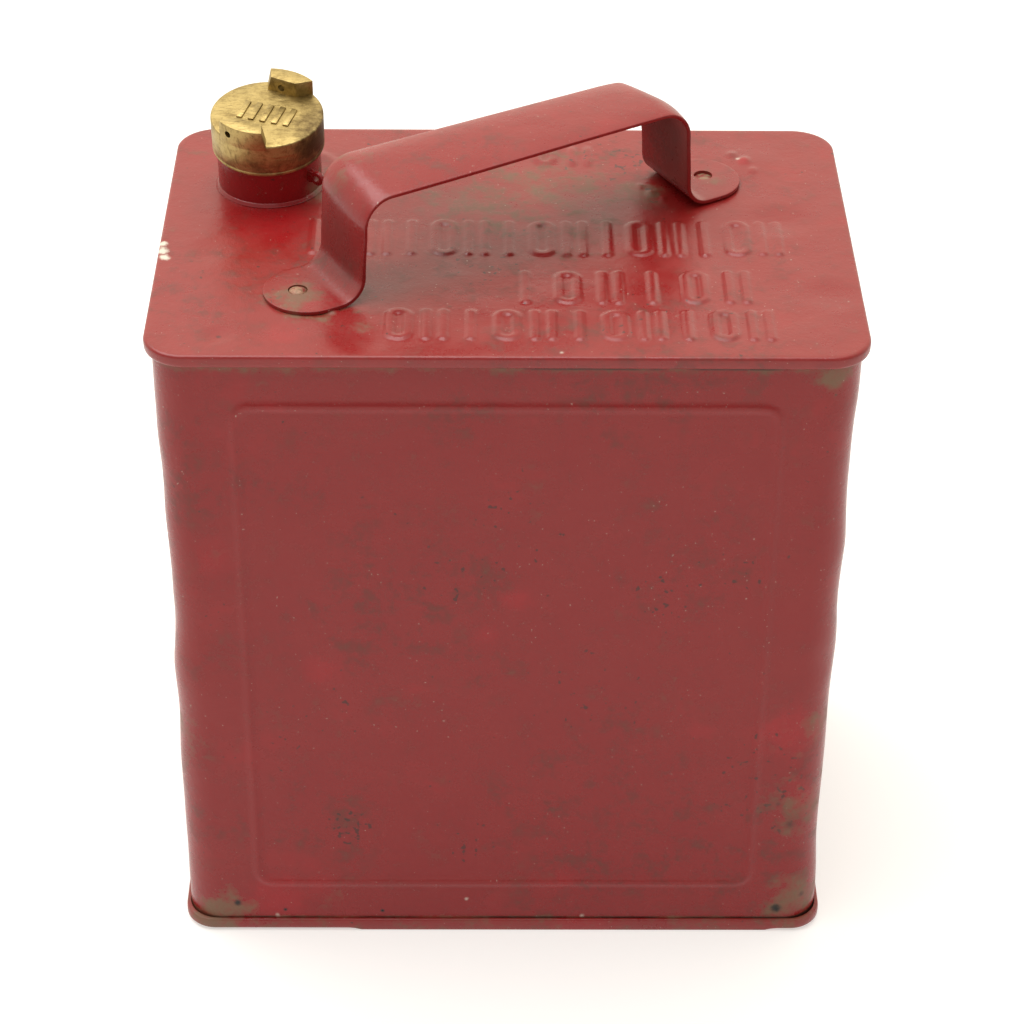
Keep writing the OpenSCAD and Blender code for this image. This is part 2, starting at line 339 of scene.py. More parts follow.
neck = {
    "x": -86 * mm, "y": 39.5 * mm, "z": 259 * mm, "lean": 8,
    "eyeTurn": -35, "eyeOut": 21.9 * mm, "eyeUp": 10.8 * mm, "eye": 2.7 * mm, "eyeWide": 1.5 * mm,
    "eyeHole": 1.3 * mm,
    # radius and height of the tube, and of the solder round its foot
    "tube": [(17.65, -3.4), (17.65, 23.3), (18.4, 23.4), (18.7, 23.2), (18.75, 22.5), (18.7, 12), (18.75, 5),
             (18.75, -3.4)],
    "solder": [(18.2, 0.1), (18.2, 1.2), (19.0, 1.35), (19.3, 1.15), (19.55, 0.7), (19.75, 0.35), (19.9, 0.15),
               (20.0, 0.02)],
}


def neckPlace():
    return (Matrix.Translation((neck["x"], neck["y"], neck["z"]))
            @ Matrix.Rotation(math.radians(neck["lean"]), 4, "X"))


# top panel

top = {
    "width": 242.8 * mm, "depth": 160.8 * mm, "corner": 14.4 * mm, "height": 259 * mm,
    "wall": 0.8 * mm, "neckHole": 18.5 * mm, "markHeight": 0.68 * mm, "stroke": 2.7 * mm, "soft": 0.75 * mm,
    # columns and rows of the mesh, and the bands that take the given share of them, for the raised marks
    "grid": (280, 164), "closeX": (-76, 101, 0.86), "closeY": (-72, 14, 0.72),
    # first x, last x, middle y, height and number of the raised marks in each row
    "rows": [(-74, 99, 0, 24, 15), (-1, 87, -34, 22, 6), (-43, 92, -60, 20, 11), (8, 34, 60, 12, 2)],
    # place, radius and height of runs of solder and enamel, and of small dents
    "lumps": [(88.5, 57, 3.2, 0.9), (91, 49.5, 2.4, 0.7), (84, 61.5, 2.6, 0.7), (53, 33, 3.2, 0.8),
              (57, 29, 2.2, 0.6), (49, 38, 2.0, 0.6), (-52, -33, 3.0, 0.6), (-60, -51, 3.4, 0.7),
              (-58, -24, 2.4, 0.5), (-97, -68, 7, -0.5), (-50, -70, 12, -0.6), (98, 12, 14, -0.6),
              (-104, -12, 12, -0.5), (112, -40, 13, -0.5), (-96, 70, 9, -0.4), (60, 70, 15, -0.5)],
    # radius, half width and height of the low ring round the neck
    "ring": (27, 3.5, 0.6),
    # place, narrowness, radius and depth of the sunken middle, and the size and depth of the waves
    "sunk": [(30, -10, 1.4, 120, 1.2), (-60, -10, 1, 50, 0.5)], "wave": (30, 0.7),
    # outward and height of the rolled edge and of the fold under it
    "fold": [(0, 0), (0.42, -0.08), (0.78, -0.32), (1.0, -0.68), (1.08, -1.1), (1.08, -1.9), (1.05, -2.8),
             (1.0, -3.6), (0.8, -4.2), (0.4, -4.55), (-0.2, -4.65), (-1.3, -4.6)],
}


def markShape(kind, x, y, half, stroke):
    # distance from a point to the middle line of one generic raised mark
    if kind == 0:
        return math.hypot(x, max(abs(y) - half + stroke / 2, 0))
    if kind == 1:
        return math.hypot(abs(x) - 2.9 * mm, max(abs(y) - half + stroke / 2, 0))
    wide = 3.1 * mm
    straight = half - stroke / 2 - wide
    return abs(math.hypot(x, max(abs(y) - straight, 0)) - wide)


def markWeight(p):
    for x0, x1, yMid, tall, count in top["rows"]:
        half = tall * mm / 2
        if abs(p.y - yMid * mm) > half + 2 * mm or not (x0 - 2) * mm < p.x < (x1 + 2) * mm:
            continue
        pitch = (x1 - x0) * mm / count
        i = min(max(int((p.x - x0 * mm) / pitch), 0), count - 1)
        x = p.x - x0 * mm - (i + 0.5) * pitch
        d = markShape((i * 2 + count) % 3, x, p.y - yMid * mm, half, top["stroke"])
        return 1 - ease(d, top["stroke"] / 2 - top["soft"] / 2, top["stroke"] / 2 + top["soft"])
    return 0


def closer(value, half, band):
    # gives the band its share of the evenly spaced lines
    low, high, share = band[0] * mm, band[1] * mm, band[2]
    t = (value / half + 1) / 2
    before = (1 - share) * (low + half) / (2 * half - high + low)
    if t < before:
        return -half + t / before * (low + half)
    if t < before + share:
        return low + (t - before) / share * (high - low)
    return high + (t - before - share) / (1 - before - share) * (half - high)


def makeTop():
    halfX, halfY, r = top["width"] / 2, top["depth"] / 2, top["corner"]
    clear()
    columns, rows = top["grid"]
    bpy.ops.mesh.primitive_grid_add(x_subdivisions=columns, y_subdivisions=rows, size=1,
                                    location=(0, 0, top["height"]))
    obj = bpy.context.object
    obj.scale = (top["width"], top["depth"], 1)
    named("topPanel")
    for vert in obj.data.vertices:
        vert.co.x = closer(vert.co.x, halfX, top["closeX"])
        vert.co.y = closer(vert.co.y, halfY, top["closeY"])
        u = (abs(vert.co.x) - halfX + r) / r
        w = (abs(vert.co.y) - halfY + r) / r
        if u > 0 and w > 0:
            u, w = roundOff(min(u, 1), min(w, 1))
            vert.co.x = math.copysign(halfX - r + u * r, vert.co.x)
            vert.co.y = math.copysign(halfY - r + w * r, vert.co.y)
    press(obj, markWeight, top["markHeight"])
    # the press leaves a low ring round the neck, and the middle of the panel has sunk a little
    neckX, neckY = neck["x"], neck["y"]
    out, half, up = (value * mm for value in top["ring"])
    press(obj, lambda p: bell(abs(math.hypot(p.x - neckX, p.y - neckY) - out), half)
          * ease(p.x - neckX + p.y - neckY, -12 * mm, 16 * mm), up)
    for x, y, radius, depth in top["lumps"]:
        press(obj, lambda p: bell(math.hypot(p.x - x * mm, p.y - y * mm), radius * mm), depth * mm, "Z")

    def inward(p):
        return ease(min(halfX - abs(p.x), halfY - abs(p.y)), 1 * mm, 22 * mm)

    for x, y, narrow, radius, depth in top["sunk"]:
        press(obj, lambda p: inward(p) * bell(math.hypot(p.x - x * mm, (p.y - y * mm) * narrow), radius * mm),
              -depth * mm, "Z")
    group = obj.vertex_groups.new(name="calm")
    for vert in obj.data.vertices:
        group.add([vert.index], inward(vert.co), "REPLACE")
    wave(obj, "calm", top["wave"][0] * mm, top["wave"][1] * mm)
    obj.vertex_groups.remove(obj.vertex_groups["calm"])
    only(obj)
    pickRim()
    foldRound(top["width"], top["depth"], [(o * mm, z * mm) for o, z in top["fold"]])
    objectMode()
    tidyNormals(obj)
    if obj.data.polygons[len(obj.data.polygons) // 3].normal.z < 0:
        tidyNormals(obj, inside=True)
    modify(obj, "SOLIDIFY", thickness=top["wall"], offset=-1)
    clear()
    bpy.ops.mesh.primitive_cylinder_add(vertices=96, radius=top["neckHole"], depth=30 * mm, location=(0, 0, 0))
    hole = named("neckHole")
    place(hole, neckPlace())
    cut(obj, hole)
    smooth(obj, 40)
    return obj


topPiece = makeTop()
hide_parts("top_panel")
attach(topPiece, "tank")
print("top panel made", len(topPiece.data.polygons))


# bottom panel

bottom = {
    "width": 240 * mm, "depth": 158 * mm, "corner": 13 * mm, "cuts": (90, 50),
    # how far the rim's lower edge hangs, and from where to where along the front
    "hang": 0.9 * mm, "hangFrom": -58 * mm, "hangTo": 104 * mm,
    # outward and height, from inside the wrapper round under it and up its outside
    "fold": [(-2.0, 5.0), (-2.0, 1.6), (-1.5, 1.05), (-0.6, 0.95), (0.5, 0.95), (1.1, 1.2), (1.42, 1.8),
             (1.45, 3.2), (1.4, 4.6), (1.2, 5.2), (0.8, 5.45), (0.05, 5.4)],
}


def makeBottom():
    fold = [(o * mm, z * mm) for o, z in bottom["fold"]]
    o0, z0 = fold[0]
    width, depth = bottom["width"] + 2 * o0, bottom["depth"] + 2 * o0
    obj = outlineRing("bottomPanel", width, depth, bottom["corner"] + o0, z0, bottom["cuts"])
    only(obj)
    bpy.ops.object.mode_set(mode="EDIT")
    bpy.ops.mesh.select_mode(type="EDGE")
    selectAll()
    bpy.ops.mesh.edge_face_add()  # the base itself
    pickRim()
    foldRound(width, depth, [(o - o0, z) for o, z in fold])
    objectMode()
    tidyNormals(obj)
    start, end, soft = bottom["hangFrom"], bottom["hangTo"], 4 * mm
    press(obj, lambda p: ease(p.x, start, start + soft) * ease(-p.x, -end, soft - end)
          if p.z < 1.3 * mm and p.y < -77 * mm else 0, -bottom["hang"], "Z")
    smooth(obj, 40)
    return obj


bottomPiece = makeBottom()
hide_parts("bottom_panel")
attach(bottomPiece, "tank")
print("bottom panel made", len(bottomPiece.data.polygons))


# handle

handle = {
    "width": 30.8 * mm, "thick": 1.4 * mm, "half": 66.7 * mm, "rise": 41.6 * mm, "turn": 30, "middle": 0.9 * mm,
    "bend": 11.5 * mm, "footBend": 8.7 * mm, "footEnd": 80 * mm, "holeAt": 83.2 * mm, "hole": 3.4 * mm,
    "holeOff": 1.2 * mm, "crown": 1.1 * mm, "bevel": 0.62 * mm, "solder": 3.35 * mm,
    "bendSteps": 10, "legSteps": 5, "gripSteps": 24, "footSteps": (12, 18),
    # how far the grip sags at its front left, and the corner that is knocked in: radius, depth and direction
    "sag": 2.2 * mm, "knocks": [(24, 3.0, "X"), (22, 1.2, "Z")],
}


def makeHandle():
    h = handle
    level = h["thick"] / 2
    legX = h["half"] - level
    footX = legX + h["footBend"]
    roundPart = h["width"] / 2
    bendUp = level + h["footBend"]
    topZ = h["rise"] - level
    legUp = topZ - h["bend"] - bendUp
    along, across = h["footSteps"]

    def forward(x, z, steps):
        for k in range(steps):
            bpy.ops.mesh.extrude_edges_move(TRANSFORM_OT_translate={"value": (x / steps, 0, z / steps)})

    def turn(x, z, side):
        bpy.ops.mesh.spin(steps=h["bendSteps"], angle=side * math.pi / 2, center=(x, 0, z), axis=(0, 1, 0))

    clear()
    # the left foot, as a strip from its round end to the bend
    bpy.ops.mesh.primitive_grid_add(x_subdivisions=along, y_subdivisions=across, size=1,
                                    location=(-h["footEnd"] - roundPart / 2, 0, level))
    obj = bpy.context.object
    obj.scale = (roundPart, h["width"], 1)
    named("handleStrap")
    end = -h["footEnd"]
    pickEdges(obj, lambda a, b: min(a.x, b.x) > end - 0.01 * mm)
    forward(h["footEnd"] - footX, 0, 1)
    turn(-footX, bendUp, 1)
    forward(0, legUp, h["legSteps"])
    turn(-legX + h["bend"], topZ - h["bend"], -1)
    forward(2 * (legX - h["bend"]), 0, h["gripSteps"])
    turn(legX - h["bend"], topZ - h["bend"], -1)
    forward(0, -legUp, h["legSteps"])
    turn(footX, bendUp, 1)
    forward(h["footEnd"] - footX, 0, 1)
    forward(roundPart, 0, along)
    objectMode()
    for vert in obj.data.vertices:
        u = (abs(vert.co.x) - h["footEnd"]) / roundPart
        if u > 0 and vert.co.z < 2 * level:
            u, w = roundOff(min(u, 1), vert.co.y / roundPart)
            vert.co.x = math.copysign(h["footEnd"] + u * roundPart, vert.co.x)
            vert.co.y = w * roundPart
    tidyNormals(obj)
    upper = [face for face in obj.data.polygons if face.center.z > topZ - 0.1 * mm]
    if upper[0].normal.z < 0:
        tidyNormals(obj, inside=True)
    # edges turned down, more over the grip
    press(obj, lambda p: abs(p.y / roundPart) ** 3 * ease(p.z, 8 * mm, 30 * mm), -h["crown"])
    modify(obj, "SOLIDIFY", thickness=h["thick"], offset=0)
    softEdges(obj, h["bevel"], 50)
    press(obj, lambda p: ease(p.z, 12 * mm, 34 * mm) * ease(-p.x, -70 * mm, 70 * mm)
          * ease(-p.y, -15 * mm, 15 * mm), -h["sag"], "Z")
    clear()
    for side in (-1, 1):
        bpy.ops.mesh.primitive_cylinder_add(vertices=40, radius=h["hole"], depth=6 * mm,
                                            location=(side * h["holeAt"], h["holeOff"], 0))
        cut(obj, named("solderHole"))
    far = Vector((h["half"] + 1 * mm, roundPart, h["rise"]))
    for radius, depth, direction in h["knocks"]:
        press(obj, lambda p: bell((p - far).length, radius * mm), -depth * mm, direction)
    place(obj, handlePlace())
    smooth(obj, 40)
    return obj


def handlePlace():
    return (Matrix.Translation((0, 0, top["height"])) @ Matrix.Rotation(math.radians(handle["turn"]), 4, "Z")
            @ Matrix.Translation((handle["middle"], 0, 0)))


handlePiece = makeHandle()
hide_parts("handle_strap")
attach(handlePiece, "tank")
print("handle made", len(handlePiece.data.polygons))


def makeSolder(name, side, height):
    clear()
    bpy.ops.mesh.primitive_uv_sphere_add(segments=36, ring_count=18, radius=1,
                                         location=(side * handle["holeAt"], handle["holeOff"], 0.05 * mm))
    obj = bpy.context.object
    obj.scale = (handle["solder"], handle["solder"], height)
    named(name)
    only(obj)
    editMode()
    selectAll()
    bpy.ops.mesh.bisect(plane_co=(0, 0, 0.05 * mm), plane_no=(0, 0, 1), use_fill=True, clear_inner=True)
    objectMode()
    ripple(obj, 4 * mm, 0.5 * mm, side * 0.3)
    place(obj, handlePlace())
    smooth(obj, 50)
    return obj


solderLeft = makeSolder("solderLeft", -1, 2.0 * mm)
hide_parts("handle_solder_left")
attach(solderLeft, "tank")
solderRight = makeSolder("solderRight", 1, 0.6 * mm)
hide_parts("handle_solder_right")
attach(solderRight, "tank")
print("solder made")


# neck

def makeNeck():
    tube = lathe("neckTube", neck["tube"])
    place(tube, neckPlace())
    smooth(tube, 40)
    return tube


neckPiece = makeNeck()
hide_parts("neck_collar")
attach(neckPiece, "tank")


def makeNeckSolder():
    ring = lathe("neckSolder", neck["solder"], 120)
    ripple(ring, 6 * mm, 0.3 * mm, 0.2)
    place(ring, Matrix.Translation((neck["x"], neck["y"], neck["z"])))
    smooth(ring, 50)
    return ring


neckSolder = makeNeckSolder()
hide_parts("neck_solder")
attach(neckSolder, "tank")


def makeEye():
    # a ring bent from a scrap of sheet, soldered to the neck by its tail
    centre = (neck["eyeOut"], 0, neck["eyeUp"])
    clear()
    bpy.ops.mesh.primitive_cylinder_add(vertices=28, radius=neck["eye"], depth=neck["eyeWide"], location=centre,
                                        rotation=(math.pi / 2, 0, 0))
    obj = named("sealEye")
    pickFaces(obj, lambda centre, normal: normal.x < -0.6)
    bpy.ops.mesh.extrude_region_move(TRANSFORM_OT_translate={"value": (-1.6 * mm, 0, 0)})
    bpy.ops.transform.resize(value=(1, 1.4, 1.25), center_override=(18.6 * mm, 0, neck["eyeUp"]))
    objectMode()
    softEdges(obj, 0.4 * mm, 50)
    clear()
    bpy.ops.mesh.primitive_cylinder_add(vertices=24, radius=neck["eyeHole"], depth=6 * mm, location=centre,
                                        rotation=(math.pi / 2, 0, 0))
    cut(obj, named("wireHole"))
    place(obj, neckPlace() @ Matrix.Rotation(math.radians(neck["eyeTurn"]), 4, "Z"))
    smooth(obj, 40)
    return obj


eyePiece = makeEye()
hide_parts("seal_eye")
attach(eyePiece, "tank")
print("neck made")


# cap

cap = {
    "radius": 20.3 * mm, "top": 30 * mm, "lug": 5.8 * mm, "wire": 1.3 * mm, "wireDir": 58.5, "wireOff": 2.9 * mm,
    "corner": (-9.8, -10.5), "faces": (16, -25), "lugEnd": 0.4, "pitch": 3.175 * mm, "turns": 3,
    "wireUp": 2.1 * mm, "lugBevel": 0.45 * mm, "barBevel": 0.35 * mm,
    "bars": 5, "barStep": 4.4 * mm, "barTurn": -17, "barSize": (2.2, 10.4, 1.5),
    # radius and height, from the middle of the flat top round the skirt and up inside the spigot
    "profile": [(0.001, 30), (12, 30), (19.7, 29.98), (20.05, 29.9), (20.22, 29.72), (20.28, 29.4), (20.28, 23),
                (20.25, 18.6), (20.1, 18.35), (20.22, 18.1), (20.25, 17.5), (20.15, 17.2), (19.9, 17.03),
                (19.55, 17.05), (19.32, 17.4), (19.3, 26.7), (16.2, 26.75), (16.0, 26.4), (15.3, 26.3),
                (15.3, 14.1), (14.9, 13.57), (13.9, 13.55), (13.4, 14), (13.4, 26.5), (12.6, 26.8), (0.001, 26.8)],
    # the section of the male thread
    "tooth": [(15.2, 14.0), (16.15, 14.7), (16.15, 15.25), (15.2, 16.1)],
}


def makeLug(name, turn):
    clear()
    bpy.ops.mesh.primitive_cylinder_add(vertices=160, radius=cap["radius"] - 0.01 * mm, depth=cap["lug"] + 2 * mm,
                                        location=(0, 0, cap["top"] + cap["lug"] / 2 - 1 * mm))
    obj = named(name)
    cx, cy = cap["corner"]
    only(obj)
    editMode()
    planes = [((cx * mm, cy * mm, 0), (-math.sin(math.radians(a)), math.cos(math.radians(a)), 0))
              for a in cap["faces"]]
    planes.append(((cap["lugEnd"] * mm, -18 * mm, cap["top"] + 1 * mm), (0.97, 0.05, 0.22)))
    for point, normal in planes:
        selectAll()
        bpy.ops.mesh.bisect(plane_co=point, plane_no=normal, use_fill=True, clear_outer=True)
    objectMode()
    tidyNormals(obj)
    softEdges(obj, cap["lugBevel"], 35)
    place(obj, Matrix.Rotation(math.radians(turn), 4, "Z"))
    return obj


def makeCap():
    cup = lathe("capCup", cap["profile"], 160)
    lugs = [makeLug("lugFront", 0), makeLug("lugRear", 180)]
    # the male thread, one tooth carried up the spigot
    clear()
    bpy.ops.mesh.primitive_plane_add(size=1 * mm, location=(15.2 * mm, 0, 14.1 * mm))
    thread = named("capThread")
    tooth = cap["tooth"]
    for vert, (r, z) in zip(thread.data.vertices, (tooth[0], tooth[1], tooth[3], tooth[2])):
        vert.co = (r * mm, 0, z * mm)
    modify(thread, "SCREW", angle=math.tau, screw_offset=cap["pitch"], iterations=cap["turns"], steps=64,
           render_steps=64, use_merge_vertices=True, merge_threshold=0.01 * mm)
    tidyNormals(thread)
    # a row of plain cast bars on the flat top
    bars = []
    for k in range(cap["bars"]):
        clear()
        bpy.ops.mesh.primitive_cube_add(size=1, location=(0, 0, 0))
        bar = bpy.context.object
        bar.scale = [side * mm for side in cap["barSize"]]
        named("capBar")
        softEdges(bar, cap["barBevel"], 35, 2)
        place(bar, Matrix.Rotation(math.radians(cap["barTurn"]), 4, "Z")
              @ Matrix.Translation(((k - (cap["bars"] - 1) / 2) * cap["barStep"], 0, cap["top"] - 0.1 * mm)))
        bars.append(bar)
    obj = joined([cup] + lugs + bars + [thread], "screwCap")
    clear()
    bpy.ops.mesh.primitive_cylinder_add(vertices=32, radius=cap["wire"], depth=60 * mm,
                                        location=(0, cap["wireOff"], cap["top"] + cap["wireUp"]),
                                        rotation=(0, math.pi / 2, 0))
    line = named("wireLine")
    place(line, Matrix.Rotation(math.radians(cap["wireDir"]), 4, "Z"))
    cut(obj, line)
    place(obj, neckPlace())
    smooth(obj, 35)
    return obj


capPiece = makeCap()
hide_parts("screw_cap")
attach(capPiece, "cap")
print("cap made", len(capPiece.data.polygons))


# finishes

def newMaterial(name):
    mat = bpy.data.materials.new(name)
    mat.use_nodes = True
    return mat, mat.node_tree, mat.node_tree.nodes["Principled BSDF"]


def give(mat, *objs):
    for obj in objs:
        obj.data.materials.clear()
        obj.data.materials.append(mat)


def objectPlace(tree):
    return tree.nodes.new("ShaderNodeTexCoord").outputs["Object"]


def noiseNode(tree, vector, scale, detail=4, rough=0.55):
    node = tree.nodes.new("ShaderNodeTexNoise")
    node.inputs["Scale"].default_value = scale
    node.inputs["Detail"].default_value = detail
    node.inputs["Roughness"].default_value = rough
    tree.links.new(vector, node.inputs["Vector"])
    return node.outputs["Fac"]


def stepNode(tree, value, low, high, toLow=0.0, toHigh=1.0):
    node = tree.nodes.new("ShaderNodeMapRange")
    node.interpolation_type = "SMOOTHSTEP"
    for key, number in zip(("From Min", "From Max", "To Min", "To Max"), (low, high, toLow, toHigh)):
        node.inputs[key].default_value = number
    tree.links.new(value, node.inputs["Value"])
    return node.outputs["Result"]


def mathNode(tree, kind, a, b):
    node = tree.nodes.new("ShaderNodeMath")
    node.operation = kind
    for k, value in enumerate((a, b)):
        if isinstance(value, (int, float)):
            node.inputs[k].default_value = value
        else:
            tree.links.new(value, node.inputs[k])
    return node.outputs[0]


def times(tree, a, b):
    return mathNode(tree, "MULTIPLY", a, b)


def plus(tree, a, b):
    return mathNode(tree, "ADD", a, b)


def larger(tree, a, b):
    return mathNode(tree, "MAXIMUM", a, b)


def mixNode(tree, factor, a, b):
    node = tree.nodes.new("ShaderNodeMix")
    node.data_type = "RGBA"
    for key, value in ((0, factor), (6, a), (7, b)):
        if isinstance(value, (int, float)):
            node.inputs[key].default_value = value
        elif isinstance(value, tuple):
            node.inputs[key].default_value = value + (1,)
        else:
            tree.links.new(value, node.inputs[key])
    return node.outputs[2]


def stretchNode(tree, vector, scale):
    node = tree.nodes.new("ShaderNodeVectorMath")
    node.operation = "MULTIPLY"
    node.inputs[1].default_value = scale
    tree.links.new(vector, node.inputs[0])
    return node.outputs[0]


def newGroup(name, inputs, outputs):
    # a shader node group; inputs and outputs are (name, kind, value) and (name, kind)
    tree = bpy.data.node_groups.new(name, "ShaderNodeTree")
    for title, kind, value in inputs:
        socket = tree.interface.new_socket(name=title, in_out="INPUT", socket_type=kind)
        if value is not None:
            socket.default_value = value
    for title, kind in outputs:
        tree.interface.new_socket(name=title, in_out="OUTPUT", socket_type=kind)
    return tree, tree.nodes.new("NodeGroupInput").outputs, tree.nodes.new("NodeGroupOutput").inputs


def useGroup(tree, group, vector, **values):
    node = tree.nodes.new("ShaderNodeGroup")
    node.node_tree = group
    tree.links.new(vector, node.inputs["Vector"])
    for key, value in values.items():
        if isinstance(value, (int, float, tuple)):
            node.inputs[key].default_value = value
        else:
            tree.links.new(value, node.inputs[key])
    return node.outputs


def makeSpotGroup():
    # a ragged round mask about a point
    tree, given, out = newGroup(
        "raggedSpot", [("Vector", "NodeSocketVector", None), ("Centre", "NodeSocketVector", None),
                       ("Radius", "NodeSocketFloat", 0.01), ("Ragged", "NodeSocketFloat", 0.5),
                       ("Shift", "NodeSocketFloat", 0.0)],
        [("Mask", "NodeSocketFloat")])
    far = tree.nodes.new("ShaderNodeVectorMath")
    far.operation = "DISTANCE"
    tree.links.new(given["Vector"], far.inputs[0])
    tree.links.new(given["Centre"], far.inputs[1])
    part = mathNode(tree, "DIVIDE", far.outputs["Value"], given["Radius"])
    part = plus(tree, part, times(tree, given["Shift"], given["Ragged"]))
    tree.links.new(stepNode(tree, part, 0.15, 1.1, 1, 0), out["Mask"])
    return tree


enamelLook = {"red": (0.225, 0.0070, 0.0075), "faded": (0.245, 0.0140, 0.0115), "brown": (0.100, 0.018, 0.011),
              # the bright tone serves for rubbed wear and for painted highlight
              "bright": (0.31, 0.007, 0.010), "dirt": (0.165, 0.105, 0.056), "pit": (0.035, 0.014, 0.010),
              # the black tone serves for dark specks and for painted shade
              "dust": (0.50, 0.40, 0.33), "crack": (0.03, 0.014, 0.010), "darkSpotsAndShade": (0.006, 0.005, 0.004),
              "bare": (0.62, 0.56, 0.46), "gloss": 0.26, "dull": 0.38}


def makeEnamelGroup():
    # old brushed enamel: clouded, pitted in clusters, with dust and dirt where asked
    tree, given, out = newGroup(
        "oldEnamel", [("Vector", "NodeSocketVector", None), ("Fade", "NodeSocketFloat", 0.4),
                      ("Worn", "NodeSocketFloat", 0.0), ("Grime", "NodeSocketFloat", 0.0),
                      ("Pits", "NodeSocketFloat", 0.5)],
        [("Colour", "NodeSocketColor"), ("Roughness", "NodeSocketFloat"), ("Height", "NodeSocketFloat")])
    where = given["Vector"]
    wide = noiseNode(tree, where, 13, 2, 0.6)
    cloud = noiseNode(tree, where, 42, 5, 0.68)
    patch = noiseNode(tree, where, 120, 5, 0.72)
    fine = noiseNode(tree, where, 900, 1, 0.6)
    dots = noiseNode(tree, where, 430, 1, 0.5)
    brushed = noiseNode(tree, stretchNode(tree, where, (60, 60, 620)), 1, 2, 0.6)
    look = enamelLook
    fade = times(tree, stepNode(tree, cloud, 0.38, 0.62), 0.8)
    fade = plus(tree, times(tree, fade, given["Fade"]), times(tree, given["Fade"], 0.3))
    colour = mixNode(tree, fade, look["red"], look["faded"])
    stain = times(tree, stepNode(tree, wide, 0.45, 0.62, 0.25, 1), stepNode(tree, patch, 0.46, 0.68, 0, 0.62))
    colour = mixNode(tree, stain, colour, look["brown"])
    # lighter patches: rubbed wear, and the given worn spots, some of which are painted highlight
    rubAndHighlight = times(tree, stepNode(tree, wide, 0.56, 0.44), stepNode(tree, cloud, 0.56, 0.68, 0, 0.35))
    rubAndHighlight = larger(tree, rubAndHighlight, given["Worn"])
    colour = mixNode(tree, rubAndHighlight, colour, look["bright"])
    cluster = plus(tree, stepNode(tree, cloud, 0.5, 0.64, 0, 0.10), times(tree, given["Pits"], 0.13))
    pits = stepNode(tree, plus(tree, dots, cluster), 0.80, 0.86)
    colour = mixNode(tree, times(tree, pits, 0.75), colour, look["pit"])
    dirty = stepNode(tree, plus(tree, patch, times(tree, given["Grime"], 0.42)), 0.58, 1.0)
    dirty = times(tree, dirty, 0.8)
    colour = mixNode(tree, dirty, colour, look["dirt"])
    dust = stepNode(tree, fine, 0.74, 0.80, 0, 0.5)
    colour = mixNode(tree, dust, colour, look["dust"])
    tree.links.new(colour, out["Colour"])
    rough = stepNode(tree, plus(tree, fade, stain), 0.1, 1.1, look["gloss"], look["dull"])
    rough = plus(tree, rough, times(tree, dirty, 0.30))
    tree.links.new(rough, out["Roughness"])
    height = plus(tree, times(tree, fine, 0.16), times(tree, patch, 1.1))
    tree.links.new(plus(tree, height, times(tree, brushed, 0.25)), out["Height"])
    return tree


brassLook = {"cast": (0.47, 0.350, 0.140), "aged": (0.36, 0.260, 0.096), "score": (0.21, 0.145, 0.055),
             "fleck": (0.16, 0.105, 0.042), "tarnishAndShade": (0.095, 0.058, 0.026)}


def makeBrassGroup():
    # dull cast brass with turning marks and brown tarnish; the tarnish tone also lays on painted shade
    tree, given, out = newGroup(
        "oldBrass", [("Vector", "NodeSocketVector", None), ("Tarnish", "NodeSocketFloat", 0.2)],
        [("Colour", "NodeSocketColor"), ("Roughness", "NodeSocketFloat"), ("Height", "NodeSocketFloat")])
    where = given["Vector"]
    cloud = noiseNode(tree, where, 150, 6, 0.65)
    fine = noiseNode(tree, where, 1300, 3, 0.6)
    turned = noiseNode(tree, stretchNode(tree, where, (90, 90, 2600)), 1, 3, 0.6)
    scored = noiseNode(tree, stretchNode(tree, where, (300, 1500, 300)), 1, 3, 0.65)
    look = brassLook
    colour = mixNode(tree, stepNode(tree, cloud, 0.36, 0.66), look["cast"], look["aged"])
    colour = mixNode(tree, stepNode(tree, scored, 0.48, 0.70, 0, 0.75), colour, look["score"])
    colour = mixNode(tree, stepNode(tree, fine, 0.56, 0.72, 0, 0.5), colour, look["fleck"])
    tarnishAndShade = stepNode(tree, plus(tree, cloud, times(tree, given["Tarnish"], 0.5)), 0.5, 1.05)
    colour = mixNode(tree, tarnishAndShade, colour, look["tarnishAndShade"])
    tree.links.new(colour, out["Colour"])
    rough = plus(tree, stepNode(tree, turned, 0.3, 0.7, 0.36, 0.52), times(tree, tarnishAndShade, 0.12))
    tree.links.new(rough, out["Roughness"])
    height = plus(tree, times(tree, cloud, 1.2), times(tree, fine, 0.35))
    tree.links.new(plus(tree, height, times(tree, scored, 0.5)), out["Height"])
    return tree


spotGroup = makeSpotGroup()
enamelGroup = makeEnamelGroup()
brassGroup = makeBrassGroup()


def bumpTo(tree, shader, height, strength, distance):
    bump = tree.nodes.new("ShaderNodeBump")
    bump.inputs["Strength"].default_value = strength
    bump.inputs["Distance"].default_value = distance
    tree.links.new(height, bump.inputs["Height"])
    tree.links.new(bump.outputs["Normal"], shader.inputs["Normal"])


def raggedShift(tree, where):
    cloud = noiseNode(tree, where, 110, 4, 0.7)
    return times(tree, mathNode(tree, "SUBTRACT", cloud, 0.5), 3.4)


def spots(tree, where, shift, places):
    # the strongest of several ragged spots, each (x, y, z, radius, strength, ragged) in millimetres
    total = None
    for x, y, z, radius, strength, ragged in places:
        mask = useGroup(tree, spotGroup, where, Centre=(x * mm, y * mm, z * mm), Radius=radius * mm,
                        Ragged=ragged, Shift=shift)["Mask"]
        mask = times(tree, mask, strength)
        total = mask if total is None else larger(tree, total, mask)
    return total


def axisNode(tree, where, axis):
    split = tree.nodes.new("ShaderNodeSeparateXYZ")
    tree.links.new(where, split.inputs[0])
    return split.outputs[axis]


